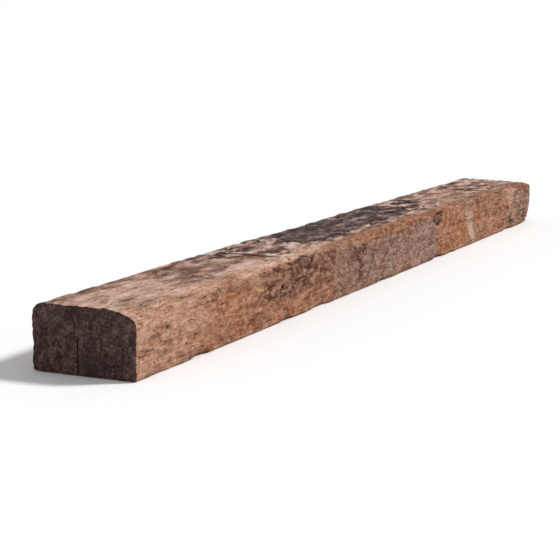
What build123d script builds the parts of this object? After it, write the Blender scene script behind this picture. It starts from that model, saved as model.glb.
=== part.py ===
"""A used timber railway sleeper, sawn from one log and lying on its bed.

Millimetres. X runs along the sleeper, Y across it and Z up from the bed, with the origin at the
middle of the bed. The waney arris is the top one at -Y, at the end that faces -X.
"""

import math
import os

from build123d import *

# The sawn timber
sleeper_length = 2600.0
sleeper_width = 240.0
sleeper_depth = 140.0

# Wear of the sawn edges
top_arris_radius = 18.0
bed_arris_radius = 9.0
end_edge_radius = 5.0

# Wane: the natural round of the log, left along one top arris and widest at the near end
wane_radius = 90.0
wane_width = 52.0
wane_drop = 24.0
wane_length = 650.0

# Rail seats: prints of the baseplates, with the holes of the screws that held them
rail_spacing = 1505.0
plate_length = 345.0
plate_width = 160.0
plate_corner_radius = 10.0
seat_depth = 3.0
screw_hole_diameter = 24.0
screw_spacing_along = 280.0
screw_spacing_across = 110.0

# Drying checks, which open from the ends and close to a line inside the timber
near_check_offset = 11.0
near_check_rise = 75.0
far_check_offset = -24.0
far_check_rise = 88.0
check_mouth = 5.0
check_run = 190.0

# How far a cutting shape reaches past the face that it cuts
overrun = 20.0

near_end = -sleeper_length / 2
waney_side = -sleeper_width / 2

# The wane is part of a cone. Its axis lies square to the middle of the wane's chord, inside the
# timber, and it widens along the sleeper until it passes the sawn corner, where the wane runs out.
chord = math.hypot(wane_width, wane_drop)
axis_distance = math.sqrt(wane_radius**2 - (chord / 2) ** 2)
axis_across = waney_side + wane_width / 2 + axis_distance * wane_drop / chord
axis_height = sleeper_depth - wane_drop / 2 - axis_distance * wane_width / chord
axis_to_corner = math.hypot(waney_side - axis_across, sleeper_depth - axis_height)
wane_taper = (axis_to_corner - wane_radius) / wane_length

# What the log didn't fill: the sawn corner between the crest of that cone and the waney side
cone_start = near_end - overrun
cone_length = wane_length + 2 * overrun
cone_start_radius = wane_radius - wane_taper * overrun
with BuildPart() as missing_corner:
    with BuildSketch(Plane.YZ.offset(cone_start)):
        with Locations((axis_across, sleeper_depth + overrun)):
            Rectangle(
                axis_across - waney_side + overrun,
                wane_drop + 2 * overrun,
                align=(Align.MAX, Align.MAX),
            )
    extrude(amount=cone_length)
    with Locations(Location((cone_start, axis_across, axis_height), (0, 90, 0))):
        Cone(
            bottom_radius=cone_start_radius,
            top_radius=cone_start_radius + wane_taper * cone_length,
            height=cone_length,
            align=(Align.CENTER, Align.CENTER, Align.MIN),
            mode=Mode.SUBTRACT,
        )

with BuildPart() as sleeper:
    # The sawn section, with its four long arrises worn round
    with BuildSketch(Plane.YZ.offset(near_end)):
        with Locations((0, sleeper_depth / 2)):
            Rectangle(sleeper_width, sleeper_depth)
        bed_corners, top_corners = vertices().group_by(Axis.Y)
        fillet(bed_corners, bed_arris_radius)
        fillet(top_corners, top_arris_radius)
    extrude(amount=sleeper_length)

    # Both ends worn round their edges
    end_faces = faces().sort_by(Axis.X)
    fillet(end_faces[0].edges() + end_faces[-1].edges(), end_edge_radius)

    # The wane on one top arris
    add(missing_corner.part, mode=Mode.SUBTRACT)

    # The baseplates' prints
    seat_floor = sleeper_depth - seat_depth
    with BuildSketch(Plane.XY.offset(seat_floor)):
        with GridLocations(rail_spacing, 0, 2, 1):
            RectangleRounded(plate_length, plate_width, plate_corner_radius)
    extrude(amount=seat_depth + overrun, mode=Mode.SUBTRACT)

    # Screw holes, bored right through so that the timber drains
    with Locations(Plane.XY.offset(seat_floor)):
        with GridLocations(rail_spacing, 0, 2, 1):
            with GridLocations(screw_spacing_along, screw_spacing_across, 2, 2):
                Hole(radius=screw_hole_diameter / 2)

    # A check in each end, open at the bed
    for towards_end, offset, rise in (
        (-1, near_check_offset, near_check_rise),
        (1, far_check_offset, far_check_rise),
    ):
        mouth_x = towards_end * (sleeper_length / 2 + overrun)
        tip_x = towards_end * (sleeper_length / 2 - check_run)
        mouth_half = check_mouth / 2 * (check_run + overrun) / check_run
        with BuildSketch(Plane.XY.offset(-overrun)):
            with BuildLine():
                Polyline(
                    (mouth_x, offset - mouth_half),
                    (mouth_x, offset + mouth_half),
                    (tip_x, offset),
                    close=True,
                )
            make_face()
        extrude(amount=overrun + rise, mode=Mode.SUBTRACT)

sleeper.part.label = "sleeper"

os.makedirs("parts", exist_ok=True)
export_step(sleeper.part, "parts/sleeper.step")
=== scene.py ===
"""A used railway sleeper: its weathered timber, a pale floor, soft light and the camera.

Metres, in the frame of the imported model: X along the sleeper, Y across it, Z up from the bed.
"""

import math
import random
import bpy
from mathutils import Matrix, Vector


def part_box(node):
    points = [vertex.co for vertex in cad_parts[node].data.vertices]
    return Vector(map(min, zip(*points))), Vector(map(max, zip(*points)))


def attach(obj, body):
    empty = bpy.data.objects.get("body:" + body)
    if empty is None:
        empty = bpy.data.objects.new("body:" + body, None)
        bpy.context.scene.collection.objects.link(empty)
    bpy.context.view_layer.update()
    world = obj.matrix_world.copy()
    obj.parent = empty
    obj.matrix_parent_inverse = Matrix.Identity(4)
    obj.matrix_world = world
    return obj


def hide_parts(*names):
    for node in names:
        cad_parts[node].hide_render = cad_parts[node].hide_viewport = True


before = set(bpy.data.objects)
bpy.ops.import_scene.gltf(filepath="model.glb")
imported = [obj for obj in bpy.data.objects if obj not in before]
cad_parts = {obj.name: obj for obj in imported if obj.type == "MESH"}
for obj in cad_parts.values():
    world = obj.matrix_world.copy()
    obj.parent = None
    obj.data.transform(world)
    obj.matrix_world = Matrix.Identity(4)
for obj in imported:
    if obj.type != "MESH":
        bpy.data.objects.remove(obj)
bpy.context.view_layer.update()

from types import SimpleNamespace

import bmesh
import bpy
from mathutils import Vector, noise

# The sawn timber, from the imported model
timber_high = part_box("sleeper")[1]
HALF_LENGTH = timber_high.x
HALF_WIDTH = timber_high.y
DEPTH = timber_high.z

# Grid of the sculpted timber: the ends are cut finer than the long middle
END_ZONE = 0.12
END_CUTS = 33
MIDDLE_CUTS = 345
ACROSS_CUTS = 66
DOWN_CUTS = 39
ALONG_STEP = 2 * (HALF_LENGTH - END_ZONE) / (MIDDLE_CUTS + 1)
ACROSS_STEP = 2 * HALF_WIDTH / (ACROSS_CUTS + 1)
DOWN_STEP = DEPTH / (DOWN_CUTS + 1)
# A point this near to a face of the uncut block lies on it
ON_FACE = 1e-5

# Wear of the sawn edges: radii of the long arrises, strength of the bites out of them,
# and the radius at the two ends
TOP_ARRIS = 0.018
BED_ARRIS = 0.008
TOP_BITE = 0.022
BED_BITE = 0.012
END_EDGE = 0.005
# The top arris at +Y is rounder near the -X end: how much more, and how far along
ROUND_CORNER = 0.009
ROUND_CORNER_REACH = 0.5
# Bites out of the bed arris at -Y: place along the sleeper, half length, depth
BED_BITES = (
    (-1.037, 0.022, 0.006),
    (-0.435, 0.036, 0.012),
    (0.396, 0.030, 0.012),
    (1.060, 0.030, 0.010),
)

# Wane: the natural round of the log along the top arris at -Y, which tapers out along the sleeper
WANE_AXIS_Y = -0.0583
WANE_AXIS_Z = 0.0505
WANE_RADIUS = 0.0885
WANE_TAPER = 0.0288
WANE_SOFTNESS = 0.008
WANE_UNEVEN = 0.003

# The far end is worn back at its top and bed edges: height of that wear and how far it goes back
FAR_TOP_HEIGHT = 0.028
FAR_TOP_BACK = 0.055
FAR_BED_HEIGHT = 0.065
FAR_BED_BACK = 0.048
FAR_REACH = 0.14

# Rail seats, the band around them that stands higher, and their screw holes
SEAT_X = 0.7525
SEAT_HALF_LENGTH = 0.1725
SEAT_HALF_WIDTH = 0.080
SEAT_DEPTH = 0.003
SEAT_EDGE = 0.001
SEAT_RIM = 0.020
SEAT_DIRT_WIDTH = 0.008
# Share of the weather's wear that the baseplate kept off
SEAT_SHELTER = 0.75
HOLE_RADIUS = 0.012
HOLE_X = 0.140
HOLE_Y = 0.055
HOLE_SIDES = 28
HOLE_MOUTH_WEAR = 0.004
HOLE_MOUTH_RADIUS = 1.9 * HOLE_RADIUS

# Drying checks in the two ends
CHECK_RUN = 0.190
NEAR_CHECK_Y = 0.011
NEAR_CHECK_RISE = 0.075
FAR_CHECK_Y = -0.024
FAR_CHECK_RISE = 0.088

dice = random.Random(41)


def clamp(value):
    return min(1.0, max(0.0, value))


def soft_step(low, high, value):
    """0 below low, 1 above high, and smooth between them."""
    t = clamp((value - low) / (high - low))
    return t * t * (3.0 - 2.0 * t)


def window(low, high, soft, value):
    """1 between low and high, and smooth down to 0 outside."""
    return soft_step(low - soft, low + soft, value) * (1.0 - soft_step(high - soft, high + soft, value))


def wave(x, y, z):
    """Smooth noise from -1 to 1."""
    return noise.noise((x, y, z))


def ripple(co, along, across, shift=0.0):
    """Smooth noise with so many spots per metre along the grain and across it."""
    return wave(along * co.x, across * co.y, across * co.z + shift)


def edges_along(block, axis):
    """The edges that run along one axis of the uncut block."""
    found = []
    for edge in block.edges:
        run = edge.verts[1].co - edge.verts[0].co
        if abs(run[axis]) > 0.99 * run.length:
            found.append(edge)
    return found


def sawn_block():
    """The timber as it left the saw: a plain block, cut into an even grid."""
    block = bmesh.new()
    bmesh.ops.create_cube(block, size=1.0)
    bmesh.ops.scale(block, vec=(2 * HALF_LENGTH, 2 * HALF_WIDTH, DEPTH), verts=block.verts)
    bmesh.ops.translate(block, vec=(0, 0, DEPTH / 2), verts=block.verts)
    for x in (END_ZONE - HALF_LENGTH, HALF_LENGTH - END_ZONE):
        everything = block.verts[:] + block.edges[:] + block.faces[:]
        bmesh.ops.bisect_plane(block, geom=everything, plane_co=(x, 0, 0), plane_no=(1, 0, 0))
    along = edges_along(block, 0)
    middle = [edge for edge in along if edge.calc_length() > 2 * END_ZONE]
    ends = [edge for edge in along if edge.calc_length() <= 2 * END_ZONE]
    bmesh.ops.subdivide_edges(block, edges=middle, cuts=MIDDLE_CUTS, use_grid_fill=True)
    bmesh.ops.subdivide_edges(block, edges=ends, cuts=END_CUTS, use_grid_fill=True)
    bmesh.ops.subdivide_edges(block, edges=edges_along(block, 1), cuts=ACROSS_CUTS, use_grid_fill=True)
    bmesh.ops.subdivide_edges(block, edges=edges_along(block, 2), cuts=DOWN_CUTS, use_grid_fill=True)
    return block


# Worn edges


def arris_radius(x, y, z):
    """How round the nearest long arris is worn, with bites out of it here and there."""
    upper = soft_step(0.3 * DEPTH, 0.7 * DEPTH, z)
    left = soft_step(-0.5 * HALF_WIDTH, 0.5 * HALF_WIDTH, y)
    radius = 0.0
    for is_upper, upper_share in ((0, 1 - upper), (1, upper)):
        for is_left, left_share in ((0, 1 - left), (1, left)):
            if upper_share * left_share == 0.0:
                continue
            lane = 11.3 * is_upper + 5.7 * is_left
            base = TOP_ARRIS if is_upper else BED_ARRIS
            worn = base * (1.0 + 0.30 * wave(2.3 * x, lane, 1.5) + 0.12 * wave(9.0 * x, lane, 8.5))
            worn += (TOP_BITE if is_upper else BED_BITE) * max(0.0, wave(12.0 * x, lane, 4.5) - 0.38)
            if is_upper and is_left:
                worn += ROUND_CORNER * (1.0 - soft_step(0.0, ROUND_CORNER_REACH, x + HALF_LENGTH))
            if not is_upper and not is_left:
                for place, half, bite in BED_BITES:
                    worn += bite * window(-half, half, 0.4 * half, x - place)
            radius += upper_share * left_share * worn
    return radius


def round_edges(co):
    """Moves a point of the block's surface onto the worn edges."""
    radius = arris_radius(co.x, co.y, co.z)
    end_radius = END_EDGE * (1.0 + 0.5 * ripple(co, 1.0, 21.0))
    reach = Vector((end_radius, radius, radius))
    inner = Vector((HALF_LENGTH, HALF_WIDTH, DEPTH / 2)) - reach
    middle = Vector((0, 0, DEPTH / 2))
    local = co - middle
    core = Vector([min(inner[k], max(-inner[k], local[k])) for k in range(3)])
    over = Vector([(local[k] - core[k]) / reach[k] for k in range(3)])
    if over.length > 0.0:
        over /= over.length
    return middle + core + Vector([over[k] * reach[k] for k in range(3)])


def leave_wane(co):
    """Brings a point in to the log's own outside."""
    if co.y > WANE_AXIS_Y or co.z < WANE_AXIS_Z:
        return co
    across = co.y - WANE_AXIS_Y
    height = co.z - WANE_AXIS_Z
    distance = math.hypot(across, height)
    limit = WANE_RADIUS + WANE_TAPER * (co.x + HALF_LENGTH)
    limit += WANE_UNEVEN * wave(3.5 * co.x, 30.0 * co.y, 2.0) * soft_step(0.0, 0.05, -across)
    over = distance - limit
    if over <= -WANE_SOFTNESS:
        return co
    if over >= WANE_SOFTNESS:
        wanted = limit
    else:
        wanted = distance - (over + WANE_SOFTNESS) ** 2 / (4.0 * WANE_SOFTNESS)
    share = wanted / distance
    return Vector((co.x, WANE_AXIS_Y + across * share, WANE_AXIS_Z + height * share))


def broom_far_end(co):
    """Wears the far end back at its top and bed, most at -Y."""
    near_it = soft_step(HALF_LENGTH - FAR_REACH, HALF_LENGTH, co.x)
    if near_it == 0.0:
        return co
    upper = clamp((co.z - DEPTH + FAR_TOP_HEIGHT) / FAR_TOP_HEIGHT)
    lower = clamp((FAR_BED_HEIGHT - co.z) / FAR_BED_HEIGHT)
    back = FAR_TOP_BACK * upper**2 + FAR_BED_BACK * lower**1.6
    side = 0.55 + 0.45 * soft_step(-0.5 * HALF_WIDTH, 0.8 * HALF_WIDTH, -co.y)
    rough = 1.0 + 0.25 * wave(2.0, 26.0 * co.y, 26.0 * co.z)
    return Vector((co.x - back * side * rough * near_it, co.y, co.z))


# Rail seats and screw holes


def pull_to_line(value, line, step):
    """Brings a grid place that is within one step of a seat's edge right up to that edge."""
    gap = value - line
    if abs(gap) >= step:
        return value
    return line + math.copysign(SEAT_EDGE, gap)


def fit_grid_to_seats(block):
    """Moves the nearest grid lines to the edges of the rail seats, so that they come out crisp."""
    for vert in block.verts:
        for seat in (-SEAT_X, SEAT_X):
            for edge in (-SEAT_HALF_LENGTH, SEAT_HALF_LENGTH):
                vert.co.x = pull_to_line(vert.co.x, seat + edge, ALONG_STEP)
        for edge in (-SEAT_HALF_WIDTH, SEAT_HALF_WIDTH):
            vert.co.y = pull_to_line(vert.co.y, edge, ACROSS_STEP)


def seat_print(x, y):
    """1 inside a rail seat, 0 outside it."""
    along = window(-SEAT_HALF_LENGTH, SEAT_HALF_LENGTH, SEAT_EDGE, abs(x) - SEAT_X)
    return along * window(-SEAT_HALF_WIDTH, SEAT_HALF_WIDTH, SEAT_EDGE, y)


def seat_rim(x, y):
    """1 in and right beside a rail seat, where the plate kept the weather off, down to 0 further out."""
    half_length = SEAT_HALF_LENGTH + SEAT_RIM
    half_width = SEAT_HALF_WIDTH + SEAT_RIM
    along = window(-half_length, half_length, SEAT_RIM, abs(x) - SEAT_X)
    return along * window(-half_width, half_width, SEAT_RIM, y)


def dirt_at_seat(co, normal):
    """Dirt along the edge of a rail seat."""
    from_ends = SEAT_HALF_LENGTH - abs(abs(co.x) - SEAT_X)
    from_sides = SEAT_HALF_WIDTH - abs(co.y)
    from_edge = min(from_ends, from_sides)
    if from_edge < 0.0:
        return 0.0
    dirt = (1.0 - soft_step(0.0, SEAT_DIRT_WIDTH, from_edge)) * soft_step(0.5, 0.9, normal.z)
    return dirt * (0.40 + 0.25 * wave(14.0 * co.x, 14.0 * co.y, 2.0))


def hole_distance(x, y):
    """Distance from the nearest screw hole's axis."""
    from_seat = abs(abs(x) - SEAT_X)
    return math.hypot(from_seat - HOLE_X, abs(y) - HOLE_Y)


# Knots: place on the timber, half length along the grain, half height
KNOTS = (
    (Vector((-0.522, -0.114, 0.123)), 0.034, 0.014),
    (Vector((0.380, -0.119, 0.116)), 0.030, 0.014),
    (Vector((-0.150, 0.120, 0.056)), 0.030, 0.016),
    (Vector((0.870, 0.120, 0.098)), 0.024, 0.012),
    (Vector((1.060, -0.020, 0.140)), 0.026, 0.014),
    (Vector((-0.350, 0.045, 0.000)), 0.032, 0.017),
)
KNOT_RISE = 0.0015
KNOT_GROOVE = 0.0035
KNOT_HEART = 0.004


def knot_relief(co):
    """How far the wood stands out at a knot: a raised disc in a groove, with a sunken heart."""
    for place, half_long, half_high in KNOTS:
        gap = co - place
        if abs(gap.x) > 2 * half_long or abs(gap.y) > 2 * half_high or abs(gap.z) > 2 * half_high:
            continue
        s = math.hypot(gap.x / half_long, math.hypot(gap.y, gap.z) / half_high)
        s *= 1.0 + 0.25 * ripple(co, 30.0, 60.0)
        groove = math.exp(-(((s - 1.0) / 0.24) ** 2))
        heart = math.exp(-((s / 0.36) ** 2))
        return KNOT_RISE * (1.0 - soft_step(0.85, 1.25, s)) - KNOT_GROOVE * groove - KNOT_HEART * heart
    return 0.0


def picked_on_left(k):
    """One of the picked holes strewn over the side at +Y: place and half width."""
    along = 0.92 * HALF_LENGTH * math.sin(5.3 * k + 1.0)
    up = (0.5 + 0.4 * math.sin(2.9 * k)) * DEPTH
    return Vector((along, HALF_WIDTH, up)), 0.007 + 0.002 * (k % 3)


# Picked holes, left by nails and tongs: place on the timber, half width
PICKED_HOLES = [
    (Vector((-0.605, -0.117, 0.133)), 0.010),
    (Vector((-0.585, -0.102, 0.139)), 0.008),
    (Vector((-0.559, -0.120, 0.084)), 0.007),
    (Vector((-0.646, -0.120, 0.081)), 0.009),
    (Vector((0.394, -0.120, 0.101)), 0.012),
    (Vector((0.420, -0.118, 0.133)), 0.009),
    (Vector((0.319, -0.120, 0.051)), 0.007),
    (Vector((0.742, -0.119, 0.123)), 0.009),
    (Vector((1.090, -0.120, 0.021)), 0.012),
    (Vector((1.050, -0.120, 0.072)), 0.009),
    (Vector((-1.172, -0.120, 0.086)), 0.007),
    (Vector((-1.262, -0.112, 0.128)), 0.006),
    (Vector((-1.181, -0.118, 0.125)), 0.006),
]
PICKED_HOLES += [picked_on_left(k) for k in range(14)]
PICKED_DEPTH = 0.006


def picked_here(co):
    """1 at the middle of a picked hole, 0 outside."""
    share = 0.0
    for place, half in PICKED_HOLES:
        gap = co - place
        if abs(gap.x) < 2.0 * half and abs(gap.y) < 2.0 * half and abs(gap.z) < 2.0 * half:
            reach = math.hypot(0.7 * gap.x, gap.y, gap.z) / half
            share = max(share, 1.0 - soft_step(0.25, 1.15, reach))
    return share


# Depth of the slow sags of every face
SAG = 0.0008
# Depths of the weathered grain on the long faces
BANDS = 0.0009
RIDGES = 0.0022
MOTTLE = 0.0008
GROOVES = 0.0026
# Depths where the top is torn to splinters
TORN_CHIPS = 0.0018
TORN_RIDGES = 0.0030
TORN_FLECKS = 0.0034
# Depths on the two ends
END_LUMPS = 0.0014
END_FIBRES = 0.0012
# Dents of stones and rot: width of the cell that each lies in, and depth
SIDE_DENTS = (0.026, 0.0036)
BED_DENTS = (0.042, 0.0050)
TOP_DENTS = (0.026, 0.0060)
# Dents are this many times as long as they are wide
DENT_STRETCH = 1.9
# Taken off all of the wear, so that the highest spots keep the sawn face, and the least that is left
EVEN_WEAR = 0.0014
LEAST_WEAR = 0.0001
# Where less than this is eaten from the torn top, its old sawn face still stands
OLD_TOP = 0.0032
OLD_TOP_SOFTNESS = 0.0012
# Wear at which painted shade starts in the hollows, and how much more makes that shade black
HOLLOW_START = 0.0056
HOLLOW_RANGE = 0.0070


def dents(co, size, seed):
    """Pits that stones and rot leave in the timber, longer along the grain than across it."""
    cell, depth = size
    spots, places = noise.voronoi((co.x / (DENT_STRETCH * cell) + seed, co.y / cell, co.z / cell))
    strength = 0.5 + 0.5 * noise.noise(places[0] * 7.3)
    return depth * strength * max(0.0, 1.0 - spots[0] / 0.6) ** 1.3


def crumbled(x, y):
    """1 where the top has gone to splinters, less near the -X end, and 0 along its smooth edge at -Y."""
    start = 0.52 + 0.48 * soft_step(-0.98, -0.80, x + 0.07 * wave(9.0 * x, 15.0 * y, 2.0))
    edge = y + 0.016 * wave(8.0 * x, 3.0, 6.0)
    edge += 0.010 * wave(31.0 * x, 20.0 * y, 4.0)
    calmer = 1.0 - 0.12 * soft_step(0.45, 0.75, x)
    return start * soft_step(-0.100, -0.062, edge) * calmer * (1.0 - 0.3 * seat_print(x, y))


def grain_relief(co, rotten):
    """What the weather has washed out of the grain, with fewer long grooves where it is torn."""
    bands = BANDS * (1.0 + ripple(co, 1.3, 46.0))
    ridges = RIDGES * abs(ripple(co, 2.6, 88.0, 3.0))
    mottle = MOTTLE * (1.0 + ripple(co, 30.0, 78.0))
    grooves = (1.0 - clamp(3.5 * abs(ripple(co, 2.2, 60.0, 9.0)))) ** 2
    return bands + ridges + mottle + GROOVES * grooves * (1.0 - 0.7 * rotten)


def torn_relief(co):
    """What is gone from the splintered top: pits, chips, ridges and short torn flecks."""
    x, y = co.xy
    torn = dents(co, TOP_DENTS, 6.0) + TORN_CHIPS * (1.0 + wave(22.0 * x, 75.0 * y, 1.0))
    torn += TORN_RIDGES * abs(wave(5.0 * x, 62.0 * y, 8.0))
    torn += TORN_FLECKS * (1.0 - clamp(3.0 * abs(wave(12.0 * x, 62.0 * y, 15.0)))) ** 2
    return torn


def end_relief(co):
    """The roughness of the two ends."""
    rough = END_LUMPS * (1.0 + ripple(co, 60.0, 55.0))
    rough += END_FIBRES * (1.0 + wave(3.0, 130.0 * co.y, 130.0 * co.z))
    return rough


def weathering(co, normal):
    """How deep the weather and the ballast have eaten in, and how much painted shade goes into the
    hollows that this leaves.
    """
    top = max(0.0, normal.z)
    bed = max(0.0, -normal.z)
    side = abs(normal.y)
    end = abs(normal.x)
    rotten = top * crumbled(co.x, co.y)
    eaten = SAG * (1.0 + ripple(co, 2.1, 6.0)) + (1.0 - end) * grain_relief(co, rotten) - EVEN_WEAR
    eaten += side * dents(co, SIDE_DENTS, 3.0) + bed * dents(co, BED_DENTS, 9.0)
    if rotten > 0.0:
        eaten += rotten * torn_relief(co)
    eaten += end * end_relief(co)
    shade_in_hollow = clamp((eaten - HOLLOW_START) / HOLLOW_RANGE)
    if top > 0.0:
        level = eaten - OLD_TOP * rotten
        eaten = 0.5 * (level + math.hypot(level, OLD_TOP_SOFTNESS))
    if top > 0.5:
        from_hole = hole_distance(co.x, co.y)
        eaten *= 1.0 - SEAT_SHELTER * seat_rim(co.x, co.y)
        eaten += SEAT_DEPTH * seat_print(co.x, co.y)
        eaten += HOLE_MOUTH_WEAR * (1.0 - soft_step(HOLE_RADIUS, HOLE_MOUTH_RADIUS, from_hole))
    return max(LEAST_WEAR, eaten), shade_in_hollow


# Stains: kind, face, then the lowest and highest place along the sleeper and across or up the face,
# the softness of the border, and the strength
STAINS = (
    ("tar", "top", -0.36, 0.43, -0.052, 0.200, 0.040, 1.00),
    ("tar", "top", 0.47, 0.62, 0.010, 0.070, 0.040, 0.55),
    ("tar", "top", -0.70, -0.50, 0.020, 0.130, 0.035, 0.62),
    ("dark", "top", -1.25, -1.13, 0.070, 0.130, 0.020, 1.00),
    ("bleach", "top", -1.40, -0.92, -0.130, 0.080, 0.045, 0.70),
    ("bleach", "top", -1.25, -1.07, -0.020, 0.062, 0.020, 1.00),
    ("bleach", "top", -0.85, -0.38, -0.115, -0.030, 0.035, 1.15),
    ("bleach", "top", 0.45, 1.25, -0.090, 0.100, 0.050, 0.28),
    ("rust", "top", -1.18, -0.93, -0.115, -0.010, 0.040, 0.55),
    ("rust", "top", -0.22, 0.56, -0.140, -0.070, 0.030, 0.80),
    ("rust", "top", -0.93, -0.57, -0.085, 0.085, 0.030, 0.30),
    ("rust", "top", 0.57, 0.93, -0.085, 0.085, 0.030, 0.40),
    ("rust", "right", -1.04, -0.76, 0.000, 0.112, 0.060, 0.95),
    ("rust", "right", -0.76, -0.36, 0.000, 0.052, 0.040, 0.70),
    ("rust", "right", 0.39, 0.63, 0.005, 0.122, 0.050, 0.95),
    ("rust", "right", -0.20, 0.27, 0.116, 0.160, 0.014, 0.80),
    ("dark", "right", -0.77, -0.32, 0.054, 0.150, 0.035, 0.95),
    ("dark", "right", -0.238, -0.150, 0.082, 0.114, 0.008, 1.40),
    ("dark", "right", -0.206, -0.162, 0.030, 0.090, 0.007, 1.50),
    ("dark", "right", -0.120, 0.340, 0.108, 0.150, 0.020, 0.45),
    ("dark", "right", -0.330, 0.020, 0.000, 0.120, 0.060, 0.28),
    ("dark", "right", -0.800, -0.400, 0.000, 0.060, 0.040, 0.32),
    ("dark", "right", 0.345, 0.425, 0.096, 0.136, 0.018, 0.35),
    ("dark", "right", -1.245, -1.165, 0.070, 0.105, 0.022, 0.45),
    ("grey", "right", -0.31, 0.39, 0.000, 0.116, 0.050, 0.95),
    ("grey", "right", 1.09, 1.40, 0.000, 0.110, 0.040, 0.75),
    ("bleach", "right", -1.35, -1.03, 0.070, 0.150, 0.050, 0.48),
    ("bleach", "right", -1.35, -1.10, 0.000, 0.070, 0.050, 0.28),
    ("rust", "right", -1.35, -1.04, 0.000, 0.130, 0.060, 0.30),
    ("bleach", "right", 1.050, 1.120, 0.086, 0.130, 0.015, 0.55),
    ("rust", "right", 0.86, 1.04, 0.000, 0.130, 0.035, 0.50),
    ("rust", "right", 0.71, 0.81, 0.030, 0.120, 0.020, 0.70),
    ("dark", "right", 1.045, 1.105, 0.000, 0.052, 0.012, 0.90),
    ("dark", "right", 1.180, 1.270, 0.000, 0.040, 0.015, 0.60),
    ("dark", "right", 1.215, 1.400, 0.100, 0.150, 0.020, 0.55),
    # This dark mark stands for small cracks in the side there: painted shade, not a stain
    ("dark", "right", 0.925, 0.965, 0.092, 0.124, 0.010, 0.60),
    ("rust", "left", -0.98, -0.55, 0.000, 0.110, 0.060, 0.80),
    ("rust", "left", 0.50, 0.92, 0.020, 0.140, 0.060, 0.75),
    ("grey", "left", -0.42, 0.30, 0.000, 0.150, 0.070, 0.75),
    ("dark", "left", -0.10, 0.40, 0.080, 0.150, 0.040, 0.70),
    ("dark", "left", 1.00, 1.40, 0.000, 0.080, 0.050, 0.50),
    ("dark", "bed", -1.40, 1.40, -0.140, 0.140, 0.050, 0.55),
    ("grey", "bed", -0.60, 0.70, -0.100, 0.100, 0.060, 0.50),
)
STAIN_KINDS = ("tar", "rust", "grey", "bleach", "dark")
# A stain at least this long has a border that wanders in full
WIDE_STAIN = 0.25


def face_shares(normal):
    """How much a point belongs to each long face."""
    return {
        "top": soft_step(0.35, 0.8, normal.z),
        "bed": soft_step(0.35, 0.8, -normal.z),
        "right": soft_step(0.35, 0.8, -normal.y),
        "left": soft_step(0.35, 0.8, normal.y),
    }


def stains_here(co, normal):
    """The strength of each kind of stain at a point, with ragged borders."""
    strength = dict.fromkeys(STAIN_KINDS, 0.0)
    shares = face_shares(normal)
    drift = 0.055 * ripple(co, 9.0, 14.0)
    drift += 0.03 * wave(31.0 * co.x, 40.0 * co.y, 7.0)
    lift = 0.016 * ripple(co, 7.0, 21.0, 4.0)
    lift += 0.007 * ripple(co, 37.0, 70.0)
    for kind, face, start, stop, low, high, soft, most in STAINS:
        share = shares[face]
        if share == 0.0:
            continue
        place = co.x + drift * min(1.0, (stop - start) / WIDE_STAIN)
        if place < start - 2 * soft or place > stop + 2 * soft:
            continue
        level = co.z if face in ("right", "left") else co.y
        here = window(start, stop, 2 * soft, place) * window(low, high, 0.4 * soft, level + lift)
        strength[kind] = max(strength[kind], most * here * share)
    return strength


# Scrape down the -Y side: place and height of its upper and lower end, half width at the upper end,
# and how much narrower it gets
SCRAPE_TOP = (0.648, 0.114)
SCRAPE_FOOT = (0.702, 0.014)
SCRAPE_HALF = 0.038
SCRAPE_NARROWS = 0.022


def scrape_here(co):
    """How bare a scrape has left the wood."""
    if co.y > -0.9 * HALF_WIDTH:
        return 0.0
    t = clamp((SCRAPE_TOP[1] - co.z) / (SCRAPE_TOP[1] - SCRAPE_FOOT[1]))
    middle = SCRAPE_TOP[0] + (SCRAPE_FOOT[0] - SCRAPE_TOP[0]) * t**1.5
    half = SCRAPE_HALF - SCRAPE_NARROWS * t
    aside = co.x - middle + 0.014 * wave(3.0, 2.0, 45.0 * co.z)
    aside += 0.012 * wave(60.0 * co.x, 2.0, 60.0 * co.z)
    inside = 1.0 - soft_step(0.4 * half, 1.4 * half, abs(aside))
    return inside * (0.20 + 0.74 * t) * window(SCRAPE_FOOT[1], SCRAPE_TOP[1], 0.016, co.z)


# Values that the sculpting leaves on the timber's points for the finish
PAINTED = STAIN_KINDS + ("crumbled", "dirt_and_painted_shade", "scraped", "end_grain")


def sculpt(block):
    """Wears the sawn block down, paints its points and gives back the painted layers."""
    for vert in block.verts:
        vert.co = broom_far_end(leave_wane(round_edges(vert.co)))
    block.normal_update()
    outward = [vert.normal.copy() for vert in block.verts]
    layers = {kind: block.verts.layers.float.new(kind) for kind in PAINTED}
    for vert, normal in zip(block.verts, outward):
        picked = picked_here(vert.co)
        eaten, shade_in_hollow = weathering(vert.co, normal)
        eaten += PICKED_DEPTH * picked
        for kind, strength in stains_here(vert.co, normal).items():
            vert[layers[kind]] = strength
        vert[layers["scraped"]] = scrape_here(vert.co)
        vert[layers["crumbled"]] = crumbled(vert.co.x, vert.co.y) * soft_step(0.3, 0.8, normal.z)
        # Painted shade in picked holes and deep worn hollows, and real dirt along the rail seats
        vert[layers["dirt_and_painted_shade"]] = max(0.9 * picked, dirt_at_seat(vert.co, normal), shade_in_hollow)
        vert[layers["end_grain"]] = soft_step(0.35, 0.75, abs(normal.x))
        vert.co -= normal * max(0.0, eaten - knot_relief(vert.co))
    return layers


# Checks, which open along lines of the grid


def line_across(y):
    """The number of the grid line nearest to a place across the sleeper."""
    return round((y + HALF_WIDTH) / ACROSS_STEP)


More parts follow.
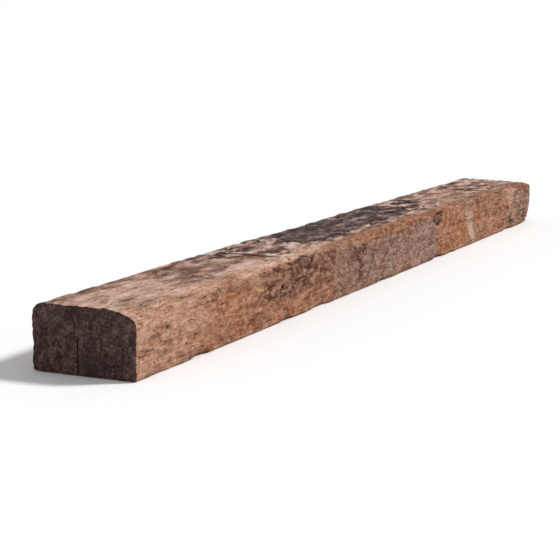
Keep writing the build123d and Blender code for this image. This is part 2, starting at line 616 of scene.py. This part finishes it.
def grid_lines(block, flat, fitted):
    """The grid points by face and line, each with its place along the line and the line's own place."""
    lines = {}
    for vert, co, set_co in zip(block.verts, flat, fitted):
        across = line_across(co.y)
        up = round(co.z / DOWN_STEP)
        if abs(co.z - DEPTH) < ON_FACE:
            lines.setdefault(("top", across), []).append((co.x, set_co.y, vert))
        if abs(co.z) < ON_FACE:
            lines.setdefault(("bed", across), []).append((co.x, set_co.y, vert))
        if abs(co.y + HALF_WIDTH) < ON_FACE:
            lines.setdefault(("right", up), []).append((co.x, set_co.z, vert))
        if abs(co.y - HALF_WIDTH) < ON_FACE:
            lines.setdefault(("left", up), []).append((co.x, set_co.z, vert))
        if abs(co.x + HALF_LENGTH) < ON_FACE:
            lines.setdefault(("near", across), []).append((co.z, set_co.y, vert))
        if abs(co.x - HALF_LENGTH) < ON_FACE:
            lines.setdefault(("far", across), []).append((co.z, set_co.y, vert))
    return lines


# For each face, the way into the wood and the axis that its lines lie across
FACES = {
    "top": (Vector((0, 0, -1)), 1),
    "bed": (Vector((0, 0, 1)), 1),
    "right": (Vector((0, 1, 0)), 2),
    "left": (Vector((0, -1, 0)), 2),
    "near": (Vector((1, 0, 0)), 1),
    "far": (Vector((-1, 0, 0)), 1),
}


def open_check(lines, dirt_and_painted_shade, face, line, start, stop, deepest, mouth, fade):
    """Opens a check along one grid line: the line goes in, and its neighbours close up to it.

    fade(t) gives the share of the full depth at t, from 0 at start to 1 at stop."""
    inward, across = FACES[face]
    step = DOWN_STEP if across == 2 else ACROSS_STEP
    seed = dice.uniform(0.0, 50.0)
    check_level = lines[(face, line)][0][1]
    for offset in range(-3, 4):
        for place, level, vert in lines.get((face, line + offset), ()):
            if not start <= place <= stop:
                continue
            share = fade((place - start) / (stop - start))
            wander = 0.8 * step * wave(11.0 * place, seed, 0.0)
            wander += 0.4 * step * wave(47.0 * place, seed, 3.0)
            vert.co[across] += wander * share * (1.0 - abs(offset) / 4.0)
            if offset == 0:
                rough = 1.0 + 0.3 * wave(60.0 * place, seed, 9.0)
                vert.co += inward * (deepest * share * rough)
                # Painted shade down the check
                vert[dirt_and_painted_shade] = max(vert[dirt_and_painted_shade], clamp(1.6 * share))
            elif abs(offset) == 1:
                close = (abs(level - check_level) - mouth / 2) * clamp(2.5 * share)
                vert.co[across] -= math.copysign(close, offset)
                # A little painted shade on the lines beside the check
                vert[dirt_and_painted_shade] = max(vert[dirt_and_painted_shade], 0.35 * clamp(2.0 * share))


def from_middle(t):
    return math.sin(math.pi * t) ** 0.7


def from_start(t):
    return (1.0 - t) ** 0.6


def from_stop(t):
    return t**0.6


NEAR_LINE = line_across(NEAR_CHECK_Y)
FAR_LINE = line_across(FAR_CHECK_Y)
# Checks of the two ends: face, line, start, stop, depth, mouth, and how the depth runs out
END_CHECKS = (
    ("near", NEAR_LINE, 0.0, NEAR_CHECK_RISE, 0.070, 0.0036, from_start),
    ("bed", NEAR_LINE, -HALF_LENGTH, CHECK_RUN - HALF_LENGTH, 0.030, 0.0036, from_start),
    ("far", FAR_LINE, 0.0, FAR_CHECK_RISE, 0.070, 0.0045, from_start),
    ("bed", FAR_LINE, HALF_LENGTH - CHECK_RUN, HALF_LENGTH, 0.030, 0.0040, from_stop),
    ("near", NEAR_LINE - 15, 0.060, 0.112, 0.008, 0.0014, from_middle),
    ("far", FAR_LINE + 21, 0.070, 0.130, 0.016, 0.0022, from_stop),
    ("far", FAR_LINE - 14, 0.020, 0.090, 0.012, 0.0020, from_middle),
)
# Checks along the grain: face, how many, first and last line, shortest and longest
GRAIN_CHECKS = (
    ("top", 16, 12, 61, 0.10, 0.42),
    ("right", 3, 10, 30, 0.06, 0.14),
    ("left", 8, 6, 34, 0.12, 0.50),
    ("bed", 7, 6, 60, 0.12, 0.50),
)
# No check along the grain comes nearer to an end than this
GRAIN_CHECK_MARGIN = 0.03
# Least and most depth and mouth of the checks along the grain
GRAIN_CHECK_DEPTHS = (0.006, 0.016)
GRAIN_CHECK_MOUTHS = (0.0014, 0.0030)


def open_checks(lines, dirt_and_painted_shade):
    for check in END_CHECKS:
        open_check(lines, dirt_and_painted_shade, *check)
    for face, count, first, last, shortest, longest in GRAIN_CHECKS:
        for k in range(count):
            line = round(first + (last - first) * (k + dice.uniform(0.1, 0.9)) / count)
            length = dice.uniform(shortest, longest)
            first_start = -HALF_LENGTH + GRAIN_CHECK_MARGIN
            last_start = HALF_LENGTH - GRAIN_CHECK_MARGIN - length
            start = dice.uniform(first_start, last_start)
            deepest = dice.uniform(*GRAIN_CHECK_DEPTHS)
            mouth = dice.uniform(*GRAIN_CHECK_MOUTHS)
            open_check(lines, dirt_and_painted_shade, face, line, start, start + length, deepest, mouth, from_middle)


def show(name, grid):
    """Turns a finished grid into an object of the scene."""
    mesh = bpy.data.meshes.new(name)
    grid.to_mesh(mesh)
    grid.free()
    thing = bpy.data.objects.new(name, mesh)
    bpy.context.scene.collection.objects.link(thing)
    return thing


def sculpted_timber():
    """The weathered timber, before its screw holes are bored."""
    block = sawn_block()
    flat = [vert.co.copy() for vert in block.verts]
    fit_grid_to_seats(block)
    fitted = [vert.co.copy() for vert in block.verts]
    layers = sculpt(block)
    open_checks(grid_lines(block, flat, fitted), layers["dirt_and_painted_shade"])
    return show("sleeper_timber", block)


def drill_bits():
    """Eight round bars where the screw holes go. Their faces have the second material of the timber."""
    bars = bmesh.new()
    for seat in (-SEAT_X, SEAT_X):
        for along in (-HOLE_X, HOLE_X):
            for across in (-HOLE_Y, HOLE_Y):
                made = bmesh.ops.create_cone(
                    bars,
                    cap_ends=True,
                    segments=HOLE_SIDES,
                    radius1=HOLE_RADIUS,
                    radius2=HOLE_RADIUS,
                    depth=2 * DEPTH,
                )
                bmesh.ops.translate(bars, vec=(seat + along, across, DEPTH / 2), verts=made["verts"])
    for face in bars.faces:
        face.material_index = 1
    return show("drill_bits", bars)


def bore_screw_holes(timber):
    """Bores the eight screw holes right through the timber."""
    bits = drill_bits()
    bore = timber.modifiers.new("bore", "BOOLEAN")
    bore.operation = "DIFFERENCE"
    bore.solver = "EXACT"
    bore.object = bits
    result = timber.evaluated_get(bpy.context.evaluated_depsgraph_get())
    bored = bpy.data.meshes.new_from_object(result)
    timber.modifiers.clear()
    plain_mesh = timber.data
    timber.data = bored
    bored.name = "sleeper_timber"
    bpy.data.meshes.remove(plain_mesh)
    bit_mesh = bits.data
    bpy.data.objects.remove(bits)
    bpy.data.meshes.remove(bit_mesh)


class Recipe:
    """A material's node tree, with short words for the nodes that the timber needs."""

    def __init__(self, name):
        self.material = bpy.data.materials.new(name)
        self.material.use_nodes = True
        self.nodes = self.material.node_tree.nodes
        self.links = self.material.node_tree.links
        self.shader = self.nodes["Principled BSDF"]
        self.place = self.nodes.new("ShaderNodeTexCoord").outputs["Object"]

    def feed(self, socket, value):
        """Links a socket, or sets a plain value."""
        if isinstance(value, bpy.types.NodeSocket):
            self.links.new(value, socket)
        elif isinstance(value, tuple):
            socket.default_value = (*value, 1.0)[: len(socket.default_value)]
        else:
            socket.default_value = value

    def stretched(self, scale, shift=(0.0, 0.0, 0.0)):
        """Object coordinates, scaled and moved."""
        mapping = self.nodes.new("ShaderNodeMapping")
        mapping.inputs["Scale"].default_value = scale
        mapping.inputs["Location"].default_value = shift
        self.links.new(self.place, mapping.inputs["Vector"])
        return mapping.outputs["Vector"]

    def grain(self, scale, detail=4.0, roughness=0.55, distortion=0.0, shift=(0.0, 0.0, 0.0)):
        """Noise with its own number of spots per metre along X, Y and Z."""
        texture = self.nodes.new("ShaderNodeTexNoise")
        texture.inputs["Scale"].default_value = 1.0
        texture.inputs["Detail"].default_value = detail
        texture.inputs["Roughness"].default_value = roughness
        texture.inputs["Distortion"].default_value = distortion
        self.links.new(self.stretched(scale, shift), texture.inputs["Vector"])
        return texture.outputs["Fac"]

    def painted(self, name):
        """A value that the sculpting left on the timber's points."""
        attribute = self.nodes.new("ShaderNodeAttribute")
        attribute.attribute_name = name
        return attribute.outputs["Fac"]

    def between(self, value, low, high, floor=0.0, ceiling=1.0):
        """floor below low, ceiling above high, smooth between them."""
        node = self.nodes.new("ShaderNodeMapRange")
        node.interpolation_type = "SMOOTHSTEP"
        self.feed(node.inputs["Value"], value)
        node.inputs["From Min"].default_value = low
        node.inputs["From Max"].default_value = high
        node.inputs["To Min"].default_value = floor
        node.inputs["To Max"].default_value = ceiling
        return node.outputs["Result"]

    def reckon(self, operation, *values):
        """One sum on values or sockets."""
        node = self.nodes.new("ShaderNodeMath")
        node.operation = operation
        for socket, value in zip(node.inputs, values):
            self.feed(socket, value)
        return node.outputs["Value"]

    def times(self, value, amount):
        return self.reckon("MULTIPLY", value, amount)

    def plus(self, value, amount):
        return self.reckon("ADD", value, amount)

    def line(self, value, width):
        """1 where a noise crosses its middle, 0 further than the width from it: long thin lines."""
        off_middle = self.reckon("ABSOLUTE", self.reckon("SUBTRACT", value, 0.5))
        return self.between(off_middle, 0.0, width, 1.0, 0.0)

    def shades(self, value, *stops):
        """A ramp of colours."""
        node = self.nodes.new("ShaderNodeValToRGB")
        elements = node.color_ramp.elements
        while len(elements) < len(stops):
            elements.new(0.5)
        for element, (position, colour) in zip(elements, stops):
            element.position = position
            element.color = (*colour, 1.0)
        self.links.new(value, node.inputs["Fac"])
        return node.outputs["Color"]

    def blend(self, amount, under, over, mode="MIX"):
        """over laid on under."""
        node = self.nodes.new("ShaderNodeMix")
        node.data_type = "RGBA"
        node.blend_type = mode
        self.feed(node.inputs["Factor"], amount)
        self.feed(node.inputs["A"], under)
        self.feed(node.inputs["B"], over)
        return node.outputs["Result"]

    def stain(self, kind, spread, under, over):
        """Lays a painted stain on a colour, as far as a pattern lets it spread."""
        return self.blend(self.times(self.painted(kind), spread), under, over)

    def finish(self, colour, roughness, height, bump_depth):
        """Sends colour, roughness and relief to the shader."""
        self.feed(self.shader.inputs["Base Color"], colour)
        self.feed(self.shader.inputs["Roughness"], roughness)
        self.shader.inputs["Specular IOR Level"].default_value = 0.1
        bump = self.nodes.new("ShaderNodeBump")
        bump.inputs["Strength"].default_value = 1.0
        bump.inputs["Distance"].default_value = bump_depth
        self.links.new(height, bump.inputs["Height"])
        self.links.new(bump.outputs["Normal"], self.shader.inputs["Normal"])
        return self.material


# Colours of the timber, and of the shade painted into its splits and hollows, in linear light
RUST = (0.375, 0.162, 0.080)
GREYED_WOOD = (0.265, 0.165, 0.131)
BLEACHED_WOOD = (0.61, 0.37, 0.265)
DARKENED_WOOD = (0.120, 0.048, 0.028)
DARK_FLECK = (0.085, 0.036, 0.022)
PALE_FLECK = (0.56, 0.37, 0.28)
KNOT_WOOD = (0.255, 0.124, 0.080)
KNOT_BARK = (0.030, 0.015, 0.011)
BARE_WOOD = (0.58, 0.46, 0.37)
# Painted shade in the fine splits
SPLIT_SHADE = (0.030, 0.016, 0.012)
# Painted shade in checks, picked holes and worn hollows, and the real dirt along the rail seats
HOLLOW_SHADE_AND_SEAT_DIRT = (0.020, 0.012, 0.010)
END_PATCH = (0.050, 0.032, 0.030)
END_DARK_FLECK = (0.020, 0.012, 0.010)
END_PALE_FLECK = (0.27, 0.175, 0.145)
# Painted shade in the checks and hollows of the two ends
END_HOLLOW_SHADE = (0.010, 0.007, 0.006)
# Depth of the finest relief, on the timber and in its holes
TIMBER_BUMP = 0.007
BORE_BUMP = 0.002
# Moves the log's pith, which lay outside this timber, to the middle of the growth rings
PITH_SHIFT = (0.0, 0.030, 0.035)


def grey(value):
    return (value, value, value)


def wood_noise(r):
    """Patterns that the timber's colours and relief share, each longer along the grain than across."""
    return SimpleNamespace(
        bands=r.grain((1.8, 40.0, 40.0), 5.0, 0.6, 0.4),
        patch=r.grain((6.0, 15.0, 15.0), 3.0, 0.55, 0.3, (3.0, 1.0, 7.0)),
        tint=r.grain((14.0, 30.0, 30.0), 3.0, 0.55, 0.3, (8.0, 4.0, 1.0)),
        mottle=r.grain((42.0, 82.0, 82.0), 4.0, 0.62, 0.25),
        fleck=r.grain((76.0, 160.0, 160.0), 3.0, 0.6, 0.35, (11.0, 2.0, 5.0)),
        fibre=r.grain((16.0, 560.0, 560.0), 4.0, 0.65),
        chips=r.grain((13.0, 28.0, 28.0), 8.0, 0.68, 0.15, (5.0, 9.0, 3.0)),
        split=r.grain((2.6, 78.0, 78.0), 3.0, 0.5, 0.3, (2.0, 7.0, 4.0)),
    )


def sound_wood(r, wood):
    """Brown wood in bands, redder and yellower in places."""
    browns = r.shades(
        wood.bands,
        (0.26, (0.215, 0.100, 0.062)),
        (0.50, (0.340, 0.168, 0.109)),
        (0.74, (0.450, 0.248, 0.166)),
    )
    reds = r.shades(
        wood.tint,
        (0.32, (0.35, 0.130, 0.082)),
        (0.50, (0.31, 0.16, 0.105)),
        (0.68, (0.37, 0.230, 0.130)),
    )
    return r.blend(0.35, browns, reds)


def stained(r, wood, colour):
    """Rust, grey weathering, bleaching and dark stains."""
    colour = r.stain("rust", r.between(wood.patch, 0.30, 0.62, 0.25, 1.0), colour, RUST)
    colour = r.stain("grey", r.between(wood.patch, 0.66, 0.36, 0.35, 1.0), colour, GREYED_WOOD)
    colour = r.stain("bleach", r.between(wood.mottle, 0.32, 0.56, 0.80, 1.0), colour, BLEACHED_WOOD)
    return r.stain("dark", r.between(wood.mottle, 0.60, 0.40, 0.30, 1.0), colour, DARKENED_WOOD)


def mottled(r, wood, colour):
    """Mottling, flecks and fibres."""
    shade = r.shades(
        wood.mottle,
        (0.34, (0.56, 0.46, 0.39)),
        (0.50, (0.96, 0.95, 0.94)),
        (0.66, (1.36, 1.48, 1.54)),
    )
    fibres = r.shades(wood.fibre, (0.30, (0.74, 0.70, 0.68)), (0.70, (1.22, 1.25, 1.27)))
    calmer_when_pale = r.between(r.painted("bleach"), 0.0, 0.5, 1.0, 0.55)
    colour = r.blend(calmer_when_pale, colour, shade, "MULTIPLY")
    colour = r.blend(r.between(wood.fleck, 0.57, 0.67, 0.0, 0.72), colour, DARK_FLECK)
    colour = r.blend(r.between(wood.fleck, 0.40, 0.31, 0.0, 0.45), colour, PALE_FLECK)
    return r.blend(1.0, colour, fibres, "MULTIPLY")


def torn_wood(r, wood):
    """Chips with the grain's own lines in them."""
    return r.plus(wood.chips, r.times(r.reckon("SUBTRACT", wood.fibre, 0.5), 0.30))


def tar_spread(r, wood):
    """How far tar hides the wood, with a ragged edge."""
    edge = r.plus(r.painted("tar"), r.between(wood.chips, 0.37, 0.63, 0.42, -0.42))
    return r.between(edge, 0.30, 0.66, 0.0, 0.94)


def splintered(r, wood, colour):
    """The splintered wood of the top, and the tar that lies on it."""
    hues = r.shades(
        wood.tint, (0.34, (1.12, 0.93, 0.90)), (0.50, grey(1.0)), (0.66, (0.92, 1.0, 1.06))
    )
    splinters = r.shades(
        r.plus(torn_wood(r, wood), r.times(r.painted("bleach"), 0.055)),
        (0.40, (0.070, 0.042, 0.036)),
        (0.47, (0.230, 0.138, 0.108)),
        (0.53, (0.480, 0.310, 0.245)),
        (0.60, (0.830, 0.620, 0.530)),
    )
    tar = r.shades(
        torn_wood(r, wood),
        (0.40, (0.018, 0.010, 0.0083)),
        (0.49, (0.061, 0.035, 0.031)),
        (0.55, (0.133, 0.080, 0.070)),
        (0.63, (0.304, 0.198, 0.174)),
    )
    splinters = r.blend(1.0, splinters, hues, "MULTIPLY")
    tar = r.blend(1.0, tar, hues, "MULTIPLY")
    colour = r.blend(r.times(r.painted("crumbled"), 0.85), colour, splinters)
    return r.blend(tar_spread(r, wood), colour, tar)


def knot_distance(r, wood):
    """Distance from the nearest knot's heart, 1 at its edge, uneven as the wood is."""
    nearest = 4.0
    for place, half_long, half_high in KNOTS:
        shrink = Vector((1.0 / half_long, 1.0 / half_high, 1.0 / half_high))
        length = r.nodes.new("ShaderNodeVectorMath")
        length.operation = "LENGTH"
        r.links.new(r.stretched(shrink, -place * shrink), length.inputs[0])
        nearest = r.reckon("MINIMUM", nearest, length.outputs["Value"])
    uneven = r.plus(r.times(wood.tint, 0.9), r.times(wood.mottle, 0.6))
    return r.plus(nearest, r.reckon("SUBTRACT", uneven, 0.75))


def knotted(r, wood, colour):
    """Knots, with rings and a dark broken edge."""
    near_knot = knot_distance(r, wood)
    rings = r.shades(
        r.times(near_knot, 0.5),
        (0.00, grey(0.90)),
        (0.09, grey(0.25)),
        (0.17, grey(0.60)),
        (0.24, grey(0.08)),
        (0.34, grey(0.20)),
        (0.45, grey(1.00)),
        (0.54, grey(0.80)),
        (0.70, grey(0.0)),
    )
    bark = r.times(rings, r.between(wood.fleck, 0.38, 0.56, 0.60, 1.0))
    colour = r.blend(r.between(near_knot, 1.10, 0.80, 0.0, 0.65), colour, KNOT_WOOD)
    return r.blend(bark, colour, KNOT_BARK)


def fine_splits(r, wood):
    """Hair-fine splits along the grain, here and there."""
    return r.times(r.line(wood.split, 0.014), r.between(wood.patch, 0.46, 0.58))


def long_grain_colour(r, wood):
    """The long faces: brown wood under stains, splinters, tar, knots, the scrape and fine splits, with
    painted shade in the splits, checks, picked holes and hollows.
    """
    colour = stained(r, wood, sound_wood(r, wood))
    colour = splintered(r, wood, mottled(r, wood, colour))
    colour = knotted(r, wood, colour)
    colour = r.stain("scraped", r.between(wood.fleck, 0.64, 0.50, 0.4, 1.0), colour, BARE_WOOD)
    # Painted shade in the hair-fine splits
    colour = r.blend(r.times(fine_splits(r, wood), 0.80), colour, SPLIT_SHADE)
    # Painted shade in checks, picked holes and worn hollows, and the dirt along the rail seats
    return r.blend(r.between(r.painted("dirt_and_painted_shade"), 0.10, 0.85, 0.0, 0.94), colour, HOLLOW_SHADE_AND_SEAT_DIRT)


def growth_rings(r):
    """Faint rings around the log's pith."""
    rings = r.nodes.new("ShaderNodeTexWave")
    rings.wave_type = "RINGS"
    rings.rings_direction = "X"
    rings.inputs["Scale"].default_value = 36.0
    rings.inputs["Distortion"].default_value = 5.0
    rings.inputs["Detail"].default_value = 3.0
    rings.inputs["Detail Scale"].default_value = 0.8
    r.links.new(r.stretched((1.0, 1.0, 1.0), PITH_SHIFT), rings.inputs["Vector"])
    return r.shades(rings.outputs["Fac"], (0.20, grey(0.88)), (0.80, grey(1.09)))


def end_grain_colour(r, wood):
    """The two ends: dark with creosote, with faint growth rings, broken fibres, and painted shade in
    their checks and hollows.
    """
    colour = r.shades(
        wood.mottle,
        (0.30, (0.034, 0.020, 0.017)),
        (0.50, (0.096, 0.056, 0.048)),
        (0.70, (0.215, 0.134, 0.113)),
    )
    colour = r.blend(r.between(wood.patch, 0.42, 0.66, 0.0, 0.60), colour, END_PATCH)
    colour = r.blend(1.0, colour, growth_rings(r), "MULTIPLY")
    colour = r.blend(r.between(wood.fleck, 0.56, 0.66, 0.0, 0.75), colour, END_DARK_FLECK)
    colour = r.blend(r.between(wood.fleck, 0.41, 0.31, 0.0, 0.55), colour, END_PALE_FLECK)
    # Painted shade in the checks and hollows of the ends
    return r.blend(r.between(r.painted("dirt_and_painted_shade"), 0.25, 0.90, 0.0, 0.94), colour, END_HOLLOW_SHADE)


def fine_relief(r, wood):
    """Relief that is too fine for the sculpted mesh."""
    height = r.plus(r.times(wood.mottle, 0.9), r.times(wood.fleck, -0.7))
    height = r.plus(height, r.times(wood.fibre, 0.30))
    height = r.plus(height, r.times(fine_splits(r, wood), -0.35))
    return r.plus(height, r.times(wood.chips, r.times(r.painted("crumbled"), 1.4)))


def weathered_timber():
    """The timber's outside: long grain, which turns to end grain at the two ends."""
    r = Recipe("weathered_timber")
    wood = wood_noise(r)
    ragged = r.between(wood.fleck, 0.30, 0.70, -0.30, 0.30)
    at_end = r.between(r.plus(r.painted("end_grain"), ragged), 0.35, 0.60)
    colour = r.blend(at_end, long_grain_colour(r, wood), end_grain_colour(r, wood))
    roughness = r.between(tar_spread(r, wood), 0.0, 1.0, 0.88, 0.72)
    return r.finish(colour, roughness, fine_relief(r, wood), TIMBER_BUMP)


def stained_bore():
    """The walls of the screw holes, stained by the iron."""
    r = Recipe("stained_bore")
    streak = r.grain((90.0, 90.0, 14.0), 4.0, 0.6)
    colour = r.shades(streak, (0.30, (0.030, 0.018, 0.014)), (0.70, (0.12, 0.060, 0.036)))
    return r.finish(colour, 0.90, streak, BORE_BUMP)


# The sleeper, shaded smooth but for edges sharper than this
SHARP_ANGLE = math.radians(50)
timber = sculpted_timber()
bore_screw_holes(timber)
timber_mesh = timber.data
timber_mesh.materials.clear()
for made in (weathered_timber(), stained_bore()):
    timber_mesh.materials.append(made)
for polygon in timber_mesh.polygons:
    polygon.use_smooth = True
timber_mesh.set_sharp_from_angle(angle=SHARP_ANGLE)
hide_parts("sleeper")
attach(timber, "root")

# Floor
FLOOR_HALF = 60.0
FLOOR_COLOUR = (0.97, 0.97, 0.97, 1)
floor_grid = bmesh.new()
bmesh.ops.create_grid(floor_grid, x_segments=1, y_segments=1, size=FLOOR_HALF)
floor = show("floor", floor_grid)
pale = bpy.data.materials.new("pale_floor")
pale.use_nodes = True
pale_shader = pale.node_tree.nodes["Principled BSDF"]
pale_shader.inputs["Base Color"].default_value = FLOOR_COLOUR
pale_shader.inputs["Roughness"].default_value = 1.0
pale_shader.inputs["Specular IOR Level"].default_value = 0.0
floor.data.materials.append(pale)

# Light: a grey sky that lights the timber, seen as white, and one soft sun
SKY_STRENGTH = 0.45
SUN_ENERGY = 2.9
SUN_SPREAD = math.radians(10)
SUN_FROM = Vector((0.45, -0.62, 0.64))
world = bpy.data.worlds.new("studio")
world.use_nodes = True
bpy.context.scene.world = world
world_nodes = world.node_tree.nodes
world_links = world.node_tree.links
sky = world_nodes["Background"]
sky.inputs["Color"].default_value = (1.0, 1.0, 1.0, 1)
sky.inputs["Strength"].default_value = SKY_STRENGTH
white = world_nodes.new("ShaderNodeBackground")
white.inputs["Color"].default_value = (1.0, 1.0, 1.0, 1)
white.inputs["Strength"].default_value = 1.0
light_path = world_nodes.new("ShaderNodeLightPath")
seen = world_nodes.new("ShaderNodeMixShader")
shows_white = light_path.outputs["Is Camera Ray"]
for ray in ("Is Glossy Ray", "Is Transmission Ray"):
    either = world_nodes.new("ShaderNodeMath")
    either.operation = "MAXIMUM"
    world_links.new(shows_white, either.inputs[0])
    world_links.new(light_path.outputs[ray], either.inputs[1])
    shows_white = either.outputs["Value"]
world_links.new(shows_white, seen.inputs["Fac"])
world_links.new(sky.outputs["Background"], seen.inputs[1])
world_links.new(white.outputs["Background"], seen.inputs[2])
world_links.new(seen.outputs["Shader"], world_nodes["World Output"].inputs["Surface"])

sun_data = bpy.data.lights.new("soft_key", "SUN")
sun_data.energy = SUN_ENERGY
sun_data.angle = SUN_SPREAD
sun = bpy.data.objects.new("soft_key", sun_data)
sun.rotation_mode = "QUATERNION"
sun.rotation_quaternion = SUN_FROM.to_track_quat("Z", "Y")
bpy.context.scene.collection.objects.link(sun)

# Camera, at the photograph's angle
CAMERA_PLACE = Vector((-3.7465, -1.5881, 0.6877))
CAMERA_AIM = Vector((-0.3263, 0.0439, 0.0358))
CAMERA_LENS = 99.0
CAMERA_SENSOR = 36.0
camera_data = bpy.data.cameras.new("camera")
camera_data.sensor_width = CAMERA_SENSOR
camera_data.lens = CAMERA_LENS
camera = bpy.data.objects.new("camera", camera_data)
camera.location = CAMERA_PLACE
camera.rotation_mode = "QUATERNION"
camera.rotation_quaternion = (CAMERA_AIM - CAMERA_PLACE).to_track_quat("-Z", "Y")
bpy.context.scene.collection.objects.link(camera)
bpy.context.scene.camera = camera
bpy.context.scene.view_settings.view_transform = "Standard"
